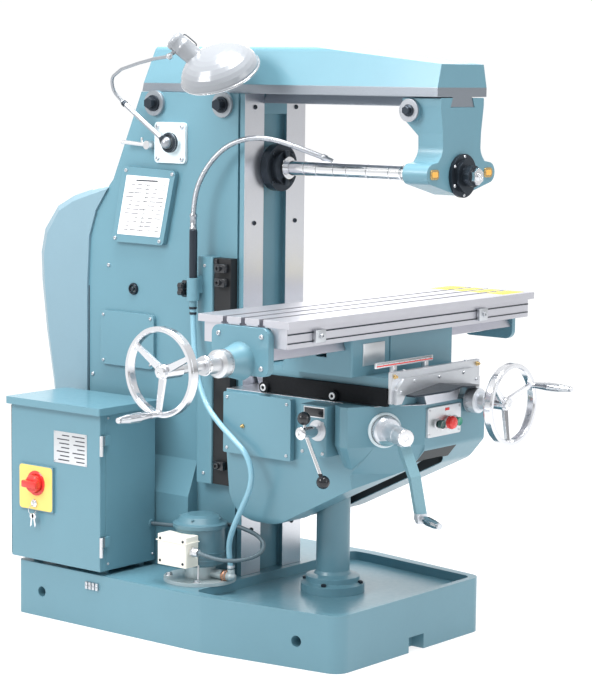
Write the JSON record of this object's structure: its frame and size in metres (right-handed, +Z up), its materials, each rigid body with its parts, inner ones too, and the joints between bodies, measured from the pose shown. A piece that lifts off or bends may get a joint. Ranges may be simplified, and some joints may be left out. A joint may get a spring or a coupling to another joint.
{
  "type": "horizontal knee-type milling machine",
  "caption": "Column and knee milling machine with an overarm, a horizontal arbor in an outboard support, a T-slotted table with handwheels, a cabinet, a coolant pump and a work lamp.",
  "frame": {"origin": "on the floor, under the middle of the base casting's footprint, in the plane of the spindle axis", "axes": "+Z up; -Y towards the operator, along the spindle nose and overarm; +X to the operator's right, along the table"},
  "size_m": [1.652, 1.77, 1.7742],
  "materials": {
    "teal_casting": "painted, semi-gloss",
    "teal_sheet": "semi-gloss",
    "ground_iron": "machined, fine ground",
    "bare_steel": "ground and oiled",
    "chrome_plate": "polished",
    "black_oxide": "blackened",
    "black_plastic": "gloss",
    "black_rubber": "matt",
    "hose_blue": "translucent satin",
    "conduit_grey": "corrugated, satin",
    "white_enamel": "gloss",
    "cream_enamel": "satin",
    "red_plastic": "gloss",
    "green_plastic": "gloss",
    "dark_plastic": "gloss",
    "silver_plate": "satin",
    "grey_enamel": "semi-gloss",
    "bronze": "turned"
  },
  "bodies": {
    "frame": {"base_casting": "teal_casting", "column_casting": "teal_casting", "rear_cover": "teal_sheet", "side_access_cover": "teal_sheet", "chart_panel": "teal_sheet", "overarm_clamp_bolts": "black_oxide", "rail_housing": "teal_casting", "pipe_clamp": "teal_casting", "lamp_base": "cream_enamel", "cabinet_box": "teal_sheet", "cabinet_lid": "teal_sheet", "contactor_panel": "grey_enamel", "pump_flange": "silver_plate", "pump_motor": "teal_sheet", "pump_junction_box": "cream_enamel", "pump_outlet": "silver_plate", "coolant_hose": "hose_blue", "pump_conduit": "conduit_grey", "screw_pedestal": "teal_casting", "main_motor": "grey_enamel", "spindle_bearings": "bare_steel", "drive_belts": "black_rubber"},
    "spindle_body": {"spindle": "black_oxide", "arbor": "chrome_plate"},
    "input_body": {"input_shaft": "bare_steel"},
    "motor_body": {"motor_pulley": "ground_iron"},
    "overarm_body": {"overarm": "teal_casting"},
    "support_body": {"arbor_support": "teal_casting", "support_bearing": "black_oxide"},
    "knee": {"knee_casting": "teal_casting", "knee_cover_plate": "teal_sheet", "feed_gearbox": "teal_casting", "button_plate": "silver_plate"},
    "screw_body": {"lift_screw": "bare_steel"},
    "crank_body": {"knee_crank": "chrome_plate"},
    "crank_grip_body": {"crank_grip": "chrome_plate"},
    "feed_lever_body": {"feed_lever": "chrome_plate"},
    "start_body": {"start_button": "green_plastic"},
    "stop_body": {"stop_button": "red_plastic"},
    "jog_body": {"jog_button": "dark_plastic"},
    "cross_wheel_body": {"cross_handwheel": "chrome_plate", "cross_feed_screw": "bare_steel"},
    "cross_grip_body": {"cross_grip": "chrome_plate"},
    "saddle": {"saddle_casting": "teal_casting", "saddle_wipers": "bare_steel", "way_cover": "black_oxide", "side_way_strip": "black_rubber", "table_feed_gearbox": "teal_casting"},
    "table_body": {"table": "ground_iron", "table_end_brackets": "teal_casting"},
    "table_wheel_body": {"table_handwheel": "chrome_plate", "table_screw": "bare_steel"},
    "table_grip_body": {"table_grip": "chrome_plate"},
    "door_body": {"cabinet_door": "teal_sheet"},
    "isolator_body": {"isolator_handle": "red_plastic"},
    "lamp_arm_body": {"lamp_arm": "bare_steel"},
    "lamp_head_body": {"lamp_head": "white_enamel"},
    "pipe_body": {"coolant_pipe": "black_oxide"},
    "knob_body": {"clamp_knob": "black_plastic"},
    "side_lever_body": {"side_lever": "bare_steel"}
  },
  "joints": [
    {"name": "knee_lift", "type": "slide", "parent": "frame", "child": "knee", "axis": [0, 0, 1], "range_m": [-0.02, 0.3]},
    {"name": "saddle_cross", "type": "slide", "parent": "knee", "child": "saddle", "axis": [0, 1, 0], "range_m": [-0.03, 0.1]},
    {"name": "table_traverse", "type": "slide", "parent": "saddle", "child": "table_body", "axis": [1, 0, 0], "range_m": [-0.3, 0.3]},
    {"name": "overarm_slide", "type": "slide", "parent": "frame", "child": "overarm_body", "axis": [0, 1, 0], "range_m": [0, 0.1]},
    {"name": "support_slide", "type": "slide", "parent": "overarm_body", "child": "support_body", "axis": [0, 1, 0], "range_m": [0, 0.1]},
    {"name": "spindle_spin", "type": "hinge", "parent": "frame", "child": "spindle_body", "pos_m": [0, 0, 1.382], "axis": [0, 1, 0], "continuous": true},
    {"name": "input_spin", "type": "hinge", "parent": "frame", "child": "input_body", "pos_m": [0, 0.3, 1.172], "axis": [0, 1, 0], "continuous": true},
    {"name": "motor_spin", "type": "hinge", "parent": "frame", "child": "motor_body", "pos_m": [0, 0.59, 0.9], "axis": [0, 1, 0], "continuous": true},
    {"name": "crank_turn", "type": "hinge", "parent": "knee", "child": "crank_body", "pos_m": [-0.1884, -0.6278, 0.675], "axis": [-0.5041, -0.8637, 0], "continuous": true},
    {"name": "screw_turn", "type": "hinge", "parent": "knee", "child": "screw_body", "pos_m": [0, -0.305, 0.65], "axis": [0, 0, 1], "continuous": true},
    {"name": "crank_grip_spin", "type": "hinge", "parent": "crank_body", "child": "crank_grip_body", "pos_m": [-0.15132, -0.64944, 0.45413], "axis": [-0.5041, -0.8637, 0], "continuous": true},
    {"name": "feed_select", "type": "hinge", "parent": "knee", "child": "feed_lever_body", "pos_m": [-0.3, -0.47, 0.668], "axis": [1, 0, 0], "range_deg": [-25, 25]},
    {"name": "start_press", "type": "slide", "parent": "knee", "child": "start_body", "axis": [0, 1, 0], "range_m": [0, 0.004], "stiffness_N_per_m": 400},
    {"name": "stop_press", "type": "slide", "parent": "knee", "child": "stop_body", "axis": [0, 1, 0], "range_m": [0, 0.004], "stiffness_N_per_m": 400},
    {"name": "jog_press", "type": "slide", "parent": "knee", "child": "jog_body", "axis": [0, 1, 0], "range_m": [0, 0.004], "stiffness_N_per_m": 400},
    {"name": "cross_wheel_turn", "type": "hinge", "parent": "knee", "child": "cross_wheel_body", "pos_m": [0.125, -0.829, 0.735], "axis": [0, 1, 0], "continuous": true},
    {"name": "cross_grip_spin", "type": "hinge", "parent": "cross_wheel_body", "child": "cross_grip_body", "pos_m": [0.22601, -0.829, 0.78103], "axis": [0, 1, 0], "continuous": true},
    {"name": "table_wheel_turn", "type": "hinge", "parent": "table_body", "child": "table_wheel_body", "pos_m": [-0.935, -0.465, 0.895], "axis": [1, 0, 0], "continuous": true},
    {"name": "table_grip_spin", "type": "hinge", "parent": "table_wheel_body", "child": "table_grip_body", "pos_m": [-0.935, -0.45501, 0.78445], "axis": [1, 0, 0], "continuous": true},
    {"name": "door_swing", "type": "hinge", "parent": "frame", "child": "door_body", "pos_m": [-0.43, 0.231, 0.4], "axis": [0, 0, 1], "range_deg": [0, 110]},
    {"name": "isolator_turn", "type": "hinge", "parent": "door_body", "child": "isolator_body", "pos_m": [-0.44, 0.498, 0.418], "axis": [1, 0, 0], "range_deg": [0, 90]},
    {"name": "lamp_arm_tilt", "type": "hinge", "parent": "frame", "child": "lamp_arm_body", "pos_m": [-0.178, 0.208, 1.45], "axis": [1, 0, 0], "range_deg": [-12, 6]},
    {"name": "lamp_head_tilt", "type": "hinge", "parent": "lamp_arm_body", "child": "lamp_head_body", "pos_m": [-0.319, 0.069, 1.704], "axis": [-0.6483, -0.7614, 0], "range_deg": [-15, 15]},
    {"name": "pipe_swivel", "type": "hinge", "parent": "frame", "child": "pipe_body", "pos_m": [-0.205, 0.074, 1.1], "axis": [0, 0, 1], "range_deg": [-60, 0]},
    {"name": "clamp_knob_turn", "type": "hinge", "parent": "frame", "child": "knob_body", "pos_m": [-0.205, 0.11, 1.021], "axis": [0, 1, 0], "continuous": true},
    {"name": "side_lever_turn", "type": "hinge", "parent": "frame", "child": "side_lever_body", "pos_m": [-0.15, 0.3, 1.44], "axis": [1, 0, 0], "range_deg": [-20, 20]}
  ],
  "couplings": [
    {"joint": "input_spin", "follows": "spindle_spin", "ratio": -1.3333},
    {"joint": "motor_spin", "follows": "spindle_spin", "ratio": -1},
    {"joint": "crank_turn", "follows": "screw_turn", "ratio": 2}
  ]
}
